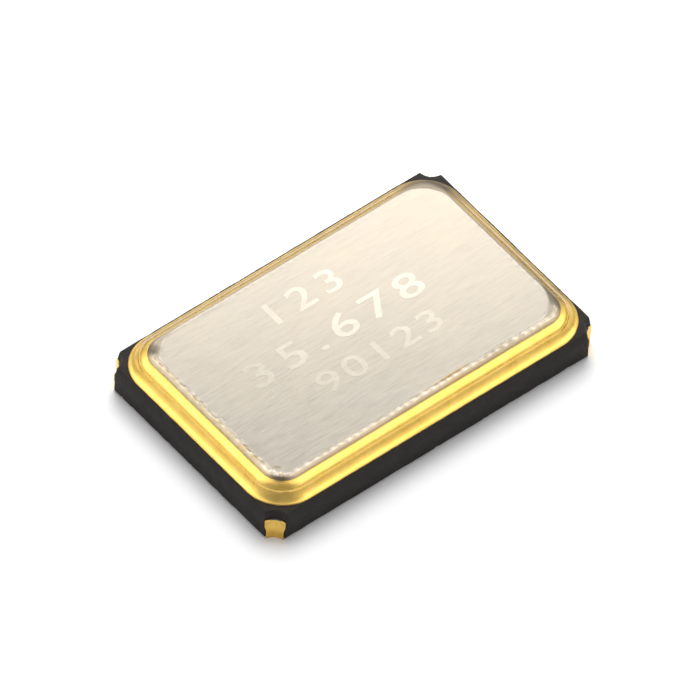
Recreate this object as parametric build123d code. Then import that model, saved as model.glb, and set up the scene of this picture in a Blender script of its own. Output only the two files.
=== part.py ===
from build123d import *
import os

# Surface mount quartz crystal: a quartz plate glued inside a ceramic cup that is closed
# by a metal lid, seam welded onto a metal ring. Millimetres, +Z up. The origin is the
# middle of the footprint, in the plane that the four terminals solder down on.
# X runs along the package, Y across it.

# ---- package outline
package_length = 5.0
package_width = 3.2
notch_radius = 0.165            # quarter-round notch at each corner

# ---- ceramic cup, from the bottom layer up
terminal_thickness = 0.02
floor_thickness = 0.19
ledge_height = 0.11             # step that the quartz plate is glued on
wall_height = 0.12              # top layer, above the step
wall_thickness = 0.50           # from the package outline to the cavity
cavity_corner_radius = 0.25
ledge_length = 0.72
edge_relief_inset = 0.015       # snapped upper edge: slightly smaller than the foot
edge_relief_depth = 0.12
rest_height = 0.12              # low ridge under the plate's free end
rest_length = 0.25
rest_width = 1.30

# ---- seal: printed band, braze, ring and lid
band_margin = 0.042             # bare ceramic outside the printed band
band_corner_radius = 0.52
band_thickness = 0.01
band_cavity_margin = 0.015
braze_toe_margin = 0.008
braze_toe_height = 0.006
braze_joint = 0.01              # braze under the ring
braze_climb = 0.08              # how far the braze climbs the ring's outer wall
ring_inset = 0.155
ring_height = 0.185
ring_edge_radius = 0.055
ring_cavity_step = 0.03         # ring opening, larger than the cavity on each side
ring_opening_radius = 0.28
lid_ring_step = 0.112           # bare ring top outside the lid
lid_corner_radius = 0.29
lid_thickness = 0.047
seam_width = 0.075              # raised weld seam along the lid's edge
seam_height = 0.008
seam_setback = 0.012

# ---- quartz plate and its films
plate_end_gap = 0.18            # from the cavity's end wall to the clamped end
plate_free_gap = 0.52
plate_side_gap = 0.20
plate_thickness = 0.07
plate_bevel = 0.02
film_thickness = 0.008
electrode_clamped_margin = 0.80
electrode_free_margin = 0.55
electrode_side_margin = 0.28
tab_width = 0.34
tab_side_margin = 0.10
tab_wrap = 0.40

# ---- mounting pads and adhesive
pad_thickness = 0.015
pad_width = 0.62
pad_end_margin = 0.06
adhesive_height = 0.035
adhesive_radius = 0.145
adhesive_bulge = 0.012
adhesive_setback = 0.20         # from the plate's clamped end

# ---- terminals, corner plating and buried conductors
terminal_length = 1.15
terminal_width = 0.95
terminal_margin = 0.10
index_chamfer = 0.25            # marks terminal 1
plating_thickness = 0.012
trace_thickness = 0.015
trace_width = 0.12
trace_wall_margin = 0.27        # from the package outline to a buried conductor's middle
via_radius = 0.05

# ---- levels and outlines that follow from the sizes above
half_length = package_length / 2
half_width = package_width / 2
floor_level = terminal_thickness + floor_thickness
ledge_level = floor_level + ledge_height
base_top = ledge_level + wall_height
band_top = base_top + band_thickness
ring_bottom = band_top + braze_joint
ring_top = ring_bottom + ring_height
cavity_end = half_length - wall_thickness
cavity_side = half_width - wall_thickness
ledge_edge = -cavity_end + ledge_length
ring_opening_inset = wall_thickness - ring_cavity_step
ring_corner_radius = band_corner_radius - (ring_inset - band_margin)
lid_inset = ring_inset + lid_ring_step

pad_top = ledge_level + pad_thickness
film_bottom = pad_top + adhesive_height
plate_bottom = film_bottom + film_thickness
plate_middle = plate_bottom + plate_thickness / 2
plate_start = -cavity_end + plate_end_gap
plate_end = cavity_end - plate_free_gap
plate_half_width = cavity_side - plate_side_gap
tab_middle = plate_half_width - tab_side_margin - tab_width / 2

# terminals are numbered anticlockwise seen from above, from the corner at -X, -Y
corners = {1: (-1, -1), 2: (1, -1), 3: (1, 1), 4: (-1, 1)}
run_x = half_length - trace_wall_margin
run_y = half_width - trace_wall_margin


def block(x_range, y_range, z_range):
    """A box between three pairs of limits."""
    limits = (x_range, y_range, z_range)
    sizes = [high - low for low, high in limits]
    middle = [(high + low) / 2 for low, high in limits]
    return Pos(*middle) * Box(*sizes)


def slab(inset, corner_radius, bottom, height):
    """A rounded rectangle, set in from the package outline, raised by a height."""
    outline = RectangleRounded(package_length - 2 * inset, package_width - 2 * inset, corner_radius)
    return Pos(0, 0, bottom) * extrude(outline, amount=height)


def corner_post(corner, radius, bottom, top):
    """A round post that stands on one corner of the package outline."""
    x, y = corner[0] * half_length, corner[1] * half_width
    height = top - bottom
    return Pos(x, y, bottom + height / 2) * Cylinder(radius, height)


def quarter_block(corner, bottom, top):
    """The part of the package outline that lies in one corner's quarter."""
    x_range = sorted((0, corner[0] * half_length))
    y_range = sorted((0, corner[1] * half_width))
    return block(x_range, y_range, (bottom, top))


def buried_strip(points):
    """A printed conductor along a path, just under the level of the ledge."""
    sketch = trace(Polyline(*points), line_width=trace_width)
    return Pos(0, 0, ledge_level - trace_thickness) * extrude(sketch, amount=trace_thickness)


def terminal(number):
    """A solder pad with the plated quarter-round wall of its corner notch."""
    corner = corners[number]
    x_outer = corner[0] * (half_length - terminal_margin)
    y_outer = corner[1] * (half_width - terminal_margin)
    x_inner = x_outer - corner[0] * terminal_length
    y_inner = y_outer - corner[1] * terminal_width
    pad = block(sorted((x_inner, x_outer)), sorted((y_inner, y_outer)), (0, terminal_thickness))
    if number == 1:
        inner_corner = pad.edges().filter_by(Axis.Z).sort_by(Axis.X)[-2:].sort_by(Axis.Y)[-1]
        pad = chamfer(inner_corner, index_chamfer)
    plated_wall = corner_post(corner, notch_radius, 0, ledge_level)
    bare_middle = corner_post(corner, notch_radius - plating_thickness, 0, ledge_level)
    plated_wall = plated_wall & quarter_block(corner, 0, ledge_level)
    return (pad + plated_wall) - bare_middle


def signal_trace(number):
    """The conductor from a mounting pad out to a terminal's corner plating."""
    corner = corners[number]
    pad_end = -cavity_end + ledge_length / 2
    side = corner[1]
    points = [(pad_end, side * tab_middle), (pad_end, side * run_y)]
    points += [(corner[0] * run_x, side * run_y), (corner[0] * half_length, side * half_width)]
    return buried_strip(points) - corner_post(corner, notch_radius, 0, base_top)


def ground_via(number):
    """The conductor from the sealing band down to a terminal's corner plating."""
    corner = corners[number]
    x, y = corner[0] * run_x, corner[1] * run_y
    strip = buried_strip([(x, y), (corner[0] * half_length, corner[1] * half_width)])
    bottom = ledge_level - trace_thickness
    post = Pos(x, y, (bottom + base_top) / 2) * Cylinder(via_radius, base_top - bottom)
    return (strip + post) - corner_post(corner, notch_radius, 0, base_top)


def mount_pad(side):
    """A plated pad on the ledge, under one corner of the quartz plate."""
    x_range = (-cavity_end + pad_end_margin, ledge_edge - pad_end_margin)
    y_range = (side * tab_middle - pad_width / 2, side * tab_middle + pad_width / 2)
    return block(x_range, y_range, (ledge_level, pad_top))


def adhesive(side):
    """A drop of conductive adhesive with a bulging side, between pad and film."""
    bulge_point = (adhesive_radius + adhesive_bulge, adhesive_height / 2)
    side_arc = ThreePointArc((adhesive_radius, 0), bulge_point, (adhesive_radius, adhesive_height))
    outline = side_arc + Polyline(
        (adhesive_radius, adhesive_height), (0, adhesive_height), (0, 0), (adhesive_radius, 0)
    )
    drop = revolve(Plane.XZ * make_face(outline), Axis.Z)
    return Pos(plate_start + adhesive_setback, side * tab_middle, pad_top) * drop


def quartz_plate():
    """The thin plate, with its long edges bevelled."""
    body = block(
        (plate_start, plate_end),
        (-plate_half_width, plate_half_width),
        (plate_bottom, plate_bottom + plate_thickness),
    )
    return chamfer(body.edges().filter_by(Axis.X), plate_bevel)


def electrode(face, side):
    """A film electrode on one face of the plate (+1 top, -1 bottom).

    Its tab runs to the clamped end, goes round the end and comes back on the other face,
    so that it can be glued from below wherever it starts.
    """
    reach = plate_thickness / 2
    near = sorted((plate_middle + face * reach, plate_middle + face * (reach + film_thickness)))
    far = sorted((plate_middle - face * reach, plate_middle - face * (reach + film_thickness)))
    tab_y = (side * tab_middle - tab_width / 2, side * tab_middle + tab_width / 2)
    field_start = plate_start + electrode_clamped_margin
    field_half = plate_half_width - electrode_side_margin
    field = block((field_start, plate_end - electrode_free_margin), (-field_half, field_half), near)
    tab = block((plate_start - film_thickness, field_start), tab_y, near)
    end_strip = block(
        (plate_start - film_thickness, plate_start), tab_y, (min(near + far), max(near + far))
    )
    return_strip = block((plate_start - film_thickness, plate_start + tab_wrap), tab_y, far)
    return field + tab + end_strip + return_strip


def seal_band():
    """The metal film printed and fired on the rim of the cup."""
    opening_inset = wall_thickness - band_cavity_margin
    outer = slab(band_margin, band_corner_radius, base_top, band_thickness)
    return outer - slab(opening_inset, ring_opening_radius, base_top, band_thickness)


def seal_braze():
    """Braze metal: a thin joint under the ring and a hollow fillet up its outer wall."""
    toe_inset = band_margin + braze_toe_margin
    fillet_width = ring_inset - toe_inset
    hollow = 0.30
    toe = (-fillet_width, braze_toe_height)
    crest = (0, braze_climb)
    middle = (-fillet_width * hollow, braze_toe_height + (braze_climb - braze_toe_height) * hollow)
    joint_reach = ring_corner_radius / 2
    section = ThreePointArc(toe, middle, crest) + Polyline(
        crest, (joint_reach, braze_climb), (joint_reach, 0), (-fillet_width, 0), toe
    )
    path = Pos(0, 0, band_top) * RectangleRounded(
        package_length - 2 * ring_inset, package_width - 2 * ring_inset, ring_corner_radius
    ).wire()
    start = Plane(origin=(0, ring_inset - half_width, band_top), x_dir=(0, 1, 0), z_dir=(1, 0, 0))
    skirt = sweep(start * make_face(section), path=path)
    joint = slab(ring_inset, ring_corner_radius, band_top, braze_joint)
    body = skirt + joint
    body -= slab(ring_opening_inset, ring_opening_radius, band_top, braze_climb)
    return body - slab(ring_inset, ring_corner_radius, ring_bottom, ring_height)


def seal_ring():
    """The metal ring that the lid is welded to, its outer top edge rounded."""
    body = slab(ring_inset, ring_corner_radius, ring_bottom, ring_height)
    body = fillet(body.faces().sort_by(Axis.Z)[-1].edges(), ring_edge_radius)
    return body - slab(ring_opening_inset, ring_opening_radius, ring_bottom, ring_height)


def lid():
    """The flat lid, with the low seam that the welding rollers leave along its edge."""
    plate = slab(lid_inset, lid_corner_radius, ring_top, lid_thickness)
    seam_inset = lid_inset + seam_setback
    seam_outer = slab(
        seam_inset, lid_corner_radius - seam_setback, ring_top, lid_thickness + seam_height
    )
    seam_inner = slab(
        seam_inset + seam_width,
        lid_corner_radius - seam_setback - seam_width,
        ring_top,
        lid_thickness + seam_height,
    )
    return plate + (seam_outer - seam_inner)


def ceramic_base(conductors):
    """The fired ceramic cup: floor, ledge, rest ridge, walls and corner notches."""
    relief_level = base_top - edge_relief_depth
    foot = block(
        (-half_length, half_length), (-half_width, half_width), (terminal_thickness, relief_level)
    )
    relief = loft([
        Pos(0, 0, relief_level) * Rectangle(package_length, package_width),
        Pos(0, 0, base_top) * Rectangle(
            package_length - 2 * edge_relief_inset, package_width - 2 * edge_relief_inset
        ),
    ])
    cavity = slab(wall_thickness, cavity_corner_radius, floor_level, base_top - floor_level)
    ledge = block(
        (-cavity_end, ledge_edge), (-cavity_side, cavity_side), (floor_level, ledge_level)
    )
    rest = block(
        (plate_end - rest_length, plate_end),
        (-rest_width / 2, rest_width / 2),
        (floor_level, floor_level + rest_height),
    )
    body = foot + relief - cavity + ledge + rest
    for corner in corners.values():
        body -= corner_post(corner, notch_radius, terminal_thickness, base_top)
    for conductor in conductors:
        body -= conductor
    return body


parts = {f"terminal_{number}": terminal(number) for number in corners}
parts |= {f"signal_trace_{number}": signal_trace(number) for number in (1, 3)}
parts |= {f"ground_via_{number}": ground_via(number) for number in (2, 4)}
conductors = [shape for name, shape in parts.items() if not name.startswith("terminal")]
parts["ceramic_base"] = ceramic_base(conductors)
parts |= {"mount_pad_near": mount_pad(-1), "mount_pad_far": mount_pad(1)}
parts |= {"adhesive_near": adhesive(-1), "adhesive_far": adhesive(1)}
parts["quartz_plate"] = quartz_plate()
parts["electrode_bottom"] = electrode(-1, -1)
parts["electrode_top"] = electrode(1, 1)
parts["seal_band"] = seal_band()
parts["seal_braze"] = seal_braze()
parts["seal_ring"] = seal_ring()
parts["lid"] = lid()

os.makedirs("parts", exist_ok=True)
for name, shape in parts.items():
    export_step(shape, f"parts/{name}.step")
    print(name, "solids", len(shape.solids()), "volume", round(shape.volume, 5))
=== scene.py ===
# %% [markdown]
# # A surface mount quartz crystal
# The part is a black ceramic cup, five millimetres long, with a gold plated ring brazed on its
# rim and a thin nickel plated lid seam welded onto the ring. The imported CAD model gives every
# size and place. This script makes the fine shapes that a CAD file has no use for, such as the
# weld spots and the grain of the metal, and gives every piece its finish.

# %% Load the frame
import bpy
import numpy as np
from math import pi
from mathutils import Matrix, Vector


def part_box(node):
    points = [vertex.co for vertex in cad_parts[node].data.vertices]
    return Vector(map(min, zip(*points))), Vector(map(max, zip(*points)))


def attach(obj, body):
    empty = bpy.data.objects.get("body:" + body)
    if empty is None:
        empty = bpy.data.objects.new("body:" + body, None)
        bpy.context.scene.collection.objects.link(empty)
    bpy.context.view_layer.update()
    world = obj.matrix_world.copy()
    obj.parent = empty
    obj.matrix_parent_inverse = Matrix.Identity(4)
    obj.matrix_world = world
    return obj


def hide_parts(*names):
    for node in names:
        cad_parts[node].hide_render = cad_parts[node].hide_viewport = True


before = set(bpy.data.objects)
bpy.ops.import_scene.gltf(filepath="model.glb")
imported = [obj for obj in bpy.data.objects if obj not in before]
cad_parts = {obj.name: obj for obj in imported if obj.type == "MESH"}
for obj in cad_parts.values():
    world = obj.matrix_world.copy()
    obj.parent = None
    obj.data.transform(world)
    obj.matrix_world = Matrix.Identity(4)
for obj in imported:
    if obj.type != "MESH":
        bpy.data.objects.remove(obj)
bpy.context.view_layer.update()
mm = 0.001

# %% [markdown]
# ## Sizes
# All places come from the boxes of the CAD nodes. What a box can't tell is named here: the
# radii of the outlines, the plating, and how far in from the package's outline the cavity and
# the ring's opening begin.

# %% Read the CAD boxes
def span(node):
    """Half size along X, half size along Y, lowest level and highest level of a CAD node."""
    low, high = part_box(node)
    return (high[0] - low[0]) / 2, (high[1] - low[1]) / 2, low[2], high[2]


cup_x, cup_y, cup_bottom, cup_top = span("ceramic_base")
band_x, band_y, band_bottom, band_top = span("seal_band")
braze_x, braze_y, braze_bottom, braze_top = span("seal_braze")
ring_x, ring_y, ring_bottom, ring_top = span("seal_ring")
lid_x, lid_y, lid_bottom, lid_top = span("lid")
plating_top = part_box("terminal_1")[1][2]
notch_radius = 0.165 * mm
plating = 0.012 * mm
band_radius = 0.52 * mm
cavity_inset = 0.50 * mm
opening_inset = 0.47 * mm
ring_radius = band_radius - (band_x - ring_x)
lid_radius = 0.29 * mm
print("ring", round(ring_x / mm, 3), "x", round(ring_y / mm, 3), "corner", round(ring_radius / mm, 3))

# %% [markdown]
# ## Shape helpers
# Each new piece is a grid of points: one parameter runs round a closed outline and the other
# along a profile. The helpers below work out whole arrays at once and hand them to Blender.

# %% Closed outlines
def rounded_outline(half_x, half_y, radius, count):
    """Points and outward normals round a rectangle with round corners, evenly spaced.

    The path is eight stretches: a straight one, then a quarter circle, four times over. A
    distance along the path picks its stretch; the point is the stretch's start plus the
    distance along it, or the corner's middle plus radius times (cos, sin) of the angle.
    """
    flat_x, flat_y = 2 * (half_x - radius), 2 * (half_y - radius)
    quarter = radius * pi / 2
    lengths = np.array([flat_y, quarter, flat_x, quarter] * 2)
    ends = np.cumsum(lengths)
    distance = np.linspace(0, ends[-1], count, endpoint=False)
    stretch = np.searchsorted(ends, distance, side="right")
    along = distance - (ends - lengths)[stretch]
    side, on_arc = stretch // 2, stretch % 2 == 1
    angle = side * pi / 2 + np.where(on_arc, along / radius, 0.0)
    normal = np.stack([np.cos(angle), np.sin(angle)], axis=-1)
    corner_sign = np.array([[1, 1], [-1, 1], [-1, -1], [1, -1]])[side]
    middle = corner_sign * np.array([half_x - radius, half_y - radius])
    side_angle = side * pi / 2
    forward = np.stack([-np.sin(side_angle), np.cos(side_angle)], axis=-1)
    back_off = np.where(on_arc, 0.0, lengths[stretch] - along)
    points = middle + radius * normal - forward * back_off[:, None]
    return points, normal


def signed_distance(x, y, half_x, half_y, radius):
    """Distance outside (+) or inside (-) a rounded rectangle, for arrays of x and y."""
    over_x = np.abs(x) - (half_x - radius)
    over_y = np.abs(y) - (half_y - radius)
    outside = np.hypot(np.maximum(over_x, 0), np.maximum(over_y, 0))
    return outside + np.minimum(np.maximum(over_x, over_y), 0) - radius


# %% [markdown]
# The notched foot and the solder pads aren't rounded rectangles. Their outlines are laid out
# with sharp corners and then smoothed, which rounds every corner a little without a formula
# for each one.

# %% Smooth closed paths
def soft_path(path, count, width):
    """Resamples a closed path evenly, then smooths it with a bell-shaped weight.

    The path ends at its first point. The weight has the given width and is applied as a
    product of Fourier terms.
    """
    walked = np.concatenate([[0], np.cumsum(np.linalg.norm(np.diff(path, axis=0), axis=1))])
    steps = np.linspace(0, walked[-1], count, endpoint=False)
    even = np.stack([np.interp(steps, walked, path[:, k]) for k in (0, 1)], axis=-1)
    waves = np.fft.fftfreq(count, walked[-1] / count)
    weight = np.exp(-2 * (pi * width * waves) ** 2)[:, None]
    return np.fft.ifft(np.fft.fft(even, axis=0) * weight, axis=0).real


def outward(outline):
    """Outward normals of an anticlockwise closed outline: the step from one neighbour to the
    other, made one long and turned a quarter clockwise."""
    tangent = np.roll(outline, -1, axis=0) - np.roll(outline, 1, axis=0)
    tangent /= np.linalg.norm(tangent, axis=1, keepdims=True)
    return np.stack([tangent[:, 1], -tangent[:, 0]], axis=-1)


# %% [markdown]
# Nothing that is fired and welded comes out quite even. Small random fields move edges and
# weld spots by a few thousandths of a millimetre. Each has a fixed seed, so the part is the
# same every time.

# %% Random fields
def soft_noise(x, y, cell, seed):
    """A smooth random field from -1 to 1: random heights on a square lattice of a given cell,
    blended between the four nearest with the weight 3t^2 - 2t^3."""
    size = 128
    lattice = np.random.default_rng(seed).uniform(-1, 1, (size, size))
    u, v = x / cell, y / cell
    i, j = np.floor(u).astype(int), np.floor(v).astype(int)
    fu, fv = u - i, v - j
    fu, fv = fu * fu * (3 - 2 * fu), fv * fv * (3 - 2 * fv)
    low = lattice[i % size, j % size] * (1 - fu) + lattice[(i + 1) % size, j % size] * fu
    high = lattice[i % size, (j + 1) % size] * (1 - fu) + lattice[(i + 1) % size, (j + 1) % size] * fu
    return low * (1 - fv) + high * fv


def line_noise(distance, cell, seed):
    """The same field read along one line, for what varies only along a path."""
    return soft_noise(distance, 0 * distance, cell, seed)


def smooth_step(value, low, high):
    """0 below low, 1 above high, and 3t^2 - 2t^3 between them."""
    t = np.clip((value - low) / (high - low), 0, 1)
    return t * t * (3 - 2 * t)


# %% [markdown]
# Blender wants vertices and faces, and a grid gives both: neighbours are joined by four-sided
# faces, and open ends are closed by a fan of triangles, so every piece is a closed skin.

# %% Grids into meshes
def shell(points, close_rows=False, cap_first=False, cap_last=False):
    """Vertices and four-sided faces of a grid that is closed along its columns.

    points is (rows, columns, 3), with the columns anticlockwise seen from above. The rows may
    close on themselves too, or end in a fan of triangles round their middle.
    """
    rows, columns = points.shape[:2]
    vertices = points.reshape(-1, 3)
    index = np.arange(rows * columns).reshape(rows, columns)
    if close_rows:
        index = np.concatenate([index, index[:1]])
    wrapped = np.concatenate([index, index[:, :1]], axis=1)
    quads = np.stack([wrapped[:-1, :-1], wrapped[:-1, 1:], wrapped[1:, 1:], wrapped[1:, :-1]], axis=-1)
    faces = quads.reshape(-1, 4).tolist()
    for wanted, row, flip in ((cap_first, index[0], True), (cap_last, index[-1], False)):
        if wanted:
            middle = len(vertices)
            vertices = np.concatenate([vertices, vertices[row].mean(axis=0)[None]])
            ring = np.stack([row, np.roll(row, -1), np.full_like(row, middle)], axis=-1)
            faces += (ring[:, ::-1] if flip else ring).tolist()
    return vertices, faces


def new_object(name, data):
    """An object in the scene for a mesh, a text, a camera or a lamp."""
    made = bpy.data.objects.new(name, data)
    bpy.context.scene.collection.objects.link(made)
    return made


def build(name, shells, material, replaced, slot, **attributes):
    """One mesh object from a list of shells, in place of some CAD nodes.

    The attributes are numbers kept at each vertex, for the material to read.
    """
    vertices, faces = [], []
    for points, shell_faces in shells:
        start = sum(len(v) for v in vertices)
        vertices.append(points)
        faces += [[start + corner for corner in face] for face in shell_faces]
    vertices = np.concatenate(vertices)
    mesh = bpy.data.meshes.new(name)
    mesh.from_pydata(vertices.tolist(), [], faces)
    mesh.polygons.foreach_set("use_smooth", np.ones(len(faces), dtype=bool))
    for key, values in attributes.items():
        layer = mesh.attributes.new(key, "FLOAT", "POINT")
        layer.data.foreach_set("value", np.asarray(values, dtype=np.float32).ravel())
    mesh.materials.append(material)
    mesh.update()
    piece = new_object(name, mesh)
    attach(piece, "root")
    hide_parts(*replaced)
    print(name, "vertices", len(vertices), "triangles", sum(len(face) - 2 for face in faces))


# %% [markdown]
# ## Material helpers
# A finish is a Principled shader with a few noise patterns on Object coordinates, so that the
# pattern stays on the piece. The object is tiny, so the patterns are scaled in cells per metre.

# %% Node helpers
def new_finish(name, metallic=0.0, roughness=0.5, ior=1.5, colour=(0.5, 0.5, 0.5)):
    """A material with one Principled shader; the fixed values go on the shader's own sockets."""
    material = bpy.data.materials.new(name)
    material.use_nodes = True
    shader = material.node_tree.nodes["Principled BSDF"]
    shader.inputs["Metallic"].default_value = metallic
    shader.inputs["Roughness"].default_value = roughness
    shader.inputs["IOR"].default_value = ior
    shader.inputs["Base Color"].default_value = (*colour, 1)
    return material, material.node_tree, shader


def add(tree, kind, inputs=(), **settings):
    """Adds a node, sets its properties, and sets or links its inputs by name or number."""
    node = tree.nodes.new(kind)
    for key, value in settings.items():
        setattr(node, key, value)
    for key, value in dict(inputs).items():
        if isinstance(value, bpy.types.NodeSocket):
            tree.links.new(value, node.inputs[key])
        else:
            node.inputs[key].default_value = value
    return node


def object_grain(tree, cell, stretch=(1, 1, 1), detail=3.0, roughness=0.6, offset=(0, 0, 0)):
    """Noise on Object coordinates, with cells of a given size in metres, stretched by axis."""
    place = add(tree, "ShaderNodeTexCoord")
    scale = tuple(1 / (cell * s) for s in stretch)
    mapping = add(tree, "ShaderNodeMapping", {
        "Vector": place.outputs["Object"], "Scale": scale, "Location": offset,
    })
    noise = add(tree, "ShaderNodeTexNoise", {
        "Vector": mapping.outputs["Vector"], "Scale": 1.0, "Detail": detail, "Roughness": roughness,
    })
    return noise.outputs["Fac"]


def feed(tree, shader, name, value):
    """Links a value or colour to an input of the shader."""
    tree.links.new(value, shader.inputs[name])


def combine(tree, operation, first, second):
    """Arithmetic on two values, such as MULTIPLY, ADD or MAXIMUM."""
    return add(tree, "ShaderNodeMath", {0: first, 1: second}, operation=operation).outputs[0]


def remap(tree, value, low, high, to_low=0.0, to_high=1.0, smooth=False):
    """Maps a value from one range to another, clamped."""
    node = add(tree, "ShaderNodeMapRange", {
        "Value": value, "From Min": low, "From Max": high, "To Min": to_low, "To Max": to_high,
    })
    if smooth:
        node.interpolation_type = "SMOOTHSTEP"
    return node.outputs["Result"]


def mix_colour(tree, factor, first, second, blend="MIX"):
    """Mixes two colours, each a socket or an (r, g, b)."""
    node = tree.nodes.new("ShaderNodeMix")
    node.data_type = "RGBA"
    node.blend_type = blend
    for socket, value in ((node.inputs[0], factor), (node.inputs[6], first), (node.inputs[7], second)):
        if isinstance(value, bpy.types.NodeSocket):
            tree.links.new(value, socket)
        elif isinstance(value, tuple):
            socket.default_value = (*value, 1)
        else:
            socket.default_value = value
    return node.outputs[2]


def vertex_value(tree, name):
    """A number that the mesh keeps at each vertex."""
    return add(tree, "ShaderNodeAttribute", attribute_name=name).outputs["Fac"]


def bump(tree, shader, height, depth, normal=None):
    """Bumps the surface by height times depth, in metres."""
    node = add(tree, "ShaderNodeBump", {"Height": height, "Strength": 1.0, "Distance": depth})
    if normal is not None:
        tree.links.new(normal, node.inputs["Normal"])
    tree.links.new(node.outputs["Normal"], shader.inputs["Normal"])
    return node.outputs["Normal"]


# %% [markdown]
# ## Camera
# The camera looks down at the package from the corner of terminal 1, through a long lens, so
# that the edges stay nearly parallel. It is turned a little about its own axis.

# %% Place the camera
azimuth, elevation, roll = np.radians(-41.43), np.radians(50.15), np.radians(3.13)
distance = 343.3 * mm
look_at = np.array([-0.1504, -0.1151, 0.52]) * mm
back = np.array([
    np.sin(azimuth) * np.cos(elevation), -np.cos(azimuth) * np.cos(elevation), np.sin(elevation),
])
right = np.cross(-back, [0, 0, 1])
right /= np.linalg.norm(right)
up = np.cross(back, right)
tilted_right = np.cos(roll) * right + np.sin(roll) * up
tilted_up = np.cos(roll) * up - np.sin(roll) * right
camera_data = bpy.data.cameras.new("camera")
camera_data.sensor_width = 36.0
camera_data.lens = 1486.44
camera_data.clip_start = 0.001
camera = new_object("camera", camera_data)
place = np.eye(4)
place[:3, 0], place[:3, 1], place[:3, 2] = tilted_right, tilted_up, back
place[:3, 3] = look_at + back * distance
camera.matrix_world = Matrix(place.tolist())
bpy.context.scene.camera = camera
print("lens", round(camera_data.lens, 1), "mm at", round(distance / mm, 1), "mm")

# %% [markdown]
# ## Black ceramic
# The cup is alumina, coloured black and fired in layers, then snapped out of a larger sheet.
# It is matt, with a fine grain, faint pale specks and slightly rough edges. A dark colour with
# little reflection, two sizes of grain in the bump and a faint mottle give that.

# %% Ceramic finish
low_black, high_black, speck_grey = (0.020, 0.0165, 0.0145), (0.028, 0.024, 0.021), (0.060, 0.052, 0.046)
ceramic, tree, shader = new_finish("black_ceramic", roughness=0.72, ior=1.35)
mottle = object_grain(tree, 0.22 * mm, detail=4)
fine = object_grain(tree, 0.018 * mm, detail=4, roughness=0.7)
body_colour = mix_colour(tree, remap(tree, mottle, 0.3, 0.7), low_black, high_black)
specks = remap(tree, fine, 0.66, 0.78)
body_colour = mix_colour(tree, specks, body_colour, speck_grey)
feed(tree, shader, "Base Color", body_colour)
feed(tree, shader, "Roughness", remap(tree, fine, 0.3, 0.7, 0.62, 0.84))
coarse_bump = bump(tree, shader, mottle, 0.006 * mm)
bump(tree, shader, fine, 0.0035 * mm, coarse_bump)

# %% [markdown]
# ## Ceramic cup
# The outline is a rectangle with a quarter circle bitten out of each corner, where the sheet
# of cups had a plated hole at each crossing. It could be cut from a box by four cylinders, but
# a smoothed outline gives worn corners and an even grid in one go.

# %% Notched outline
def notched_outline(half_x, half_y, radius, count, soften):
    """Points and outward normals round a rectangle with quarter circles cut from its corners.

    A bite is the package corner plus radius times (cos, sin) of an angle that turns clockwise
    by a quarter. The straight sides run from one bite to the next.
    """
    turn = np.linspace(0, pi / 2, 60)
    bites = []
    for quarter, (sx, sy) in enumerate([(1, 1), (-1, 1), (-1, -1), (1, -1)]):
        angle = 1.5 * pi + quarter * pi / 2 - turn
        swing = np.stack([np.cos(angle), np.sin(angle)], -1)
        bites.append(np.array([sx * half_x, sy * half_y]) + radius * swing)
    outline = soft_path(np.concatenate(bites + [bites[0][:1]]), count, soften)
    return outline, outward(outline)


# %% [markdown]
# The cup is laminated from layers. The notch is a little wider in the upper ones, and their
# snapped sides stand slightly in from the foot. So a row of the wall is a blend of two
# outlines, chosen by its level.

# %% Rows of the wall
cup_count = 1600
narrow_notch, wide_notch = 0.172 * mm, 0.180 * mm
low_foot, foot_normal = notched_outline(cup_x, cup_y, narrow_notch, cup_count, 0.010 * mm)
high_foot = notched_outline(cup_x, cup_y, wide_notch, cup_count, 0.014 * mm)[0]
rim_inset = 0.015 * mm
layer_level = cup_bottom + 0.14 * mm
shrink = np.array([(cup_x - rim_inset) / cup_x, (cup_y - rim_inset) / cup_y])


def cup_wall_row(level, inset):
    """The outline at a level, set in along its normals.

    The notch widens at the second ceramic layer, and the wall is drawn in above the plating.
    Both changes are blends by level.
    """
    widen = smooth_step(level, layer_level - 0.04 * mm, layer_level + 0.06 * mm)
    outline = low_foot * (1 - widen) + high_foot * widen
    rise = np.clip((level - plating_top) / (cup_top - plating_top), 0, 1)
    return (outline - foot_normal * inset) * (1 - rise + rise * shrink)


def with_level(row, level):
    """Puts a row of (x, y) points at a level."""
    return np.concatenate([row, np.full((len(row), 1), level)], axis=1)


# %% [markdown]
# The rows run from the middle of the underside out to the foot, up the side, over the rim,
# down into the cavity and in to the middle of its floor. The cavity's outline has its own
# spacing, so its points are picked at the same angles as the foot's, which keeps the faces of
# the rim straight.

# %% Shape of the cup
low_round = 0.012 * mm
rim_round, rim_drop = 0.012 * mm, 0.016 * mm
quarter_turn = np.linspace(0, pi / 2, 6)
underside = [with_level(low_foot * share, cup_bottom) for share in (0.3, 0.6, 0.8, 0.9, 0.95)]
low_edge = []
for turn in quarter_turn:
    row = cup_wall_row(cup_bottom, low_round * (1 - np.sin(turn)))
    low_edge.append(with_level(row, cup_bottom + low_round * (1 - np.cos(turn))))
side_levels = np.linspace(cup_bottom + low_round, cup_top - rim_drop, 18)[1:-1]
side = [with_level(cup_wall_row(level, 0.0), level) for level in side_levels]
high_edge = []
for turn in quarter_turn:
    row = cup_wall_row(cup_top, rim_round * (1 - np.cos(turn)))
    high_edge.append(with_level(row, cup_top - rim_drop * (1 - np.sin(turn))))
cavity_x, cavity_y, cavity_radius = cup_x - cavity_inset, cup_y - cavity_inset, 0.25 * mm
cavity = rounded_outline(cavity_x, cavity_y, cavity_radius, 3000)[0]
foot_angle = np.arctan2(high_foot[:, 1], high_foot[:, 0])
order = np.argsort(np.arctan2(cavity[:, 1], cavity[:, 0]))
cavity_angle = np.arctan2(cavity[:, 1], cavity[:, 0])[order]
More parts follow.
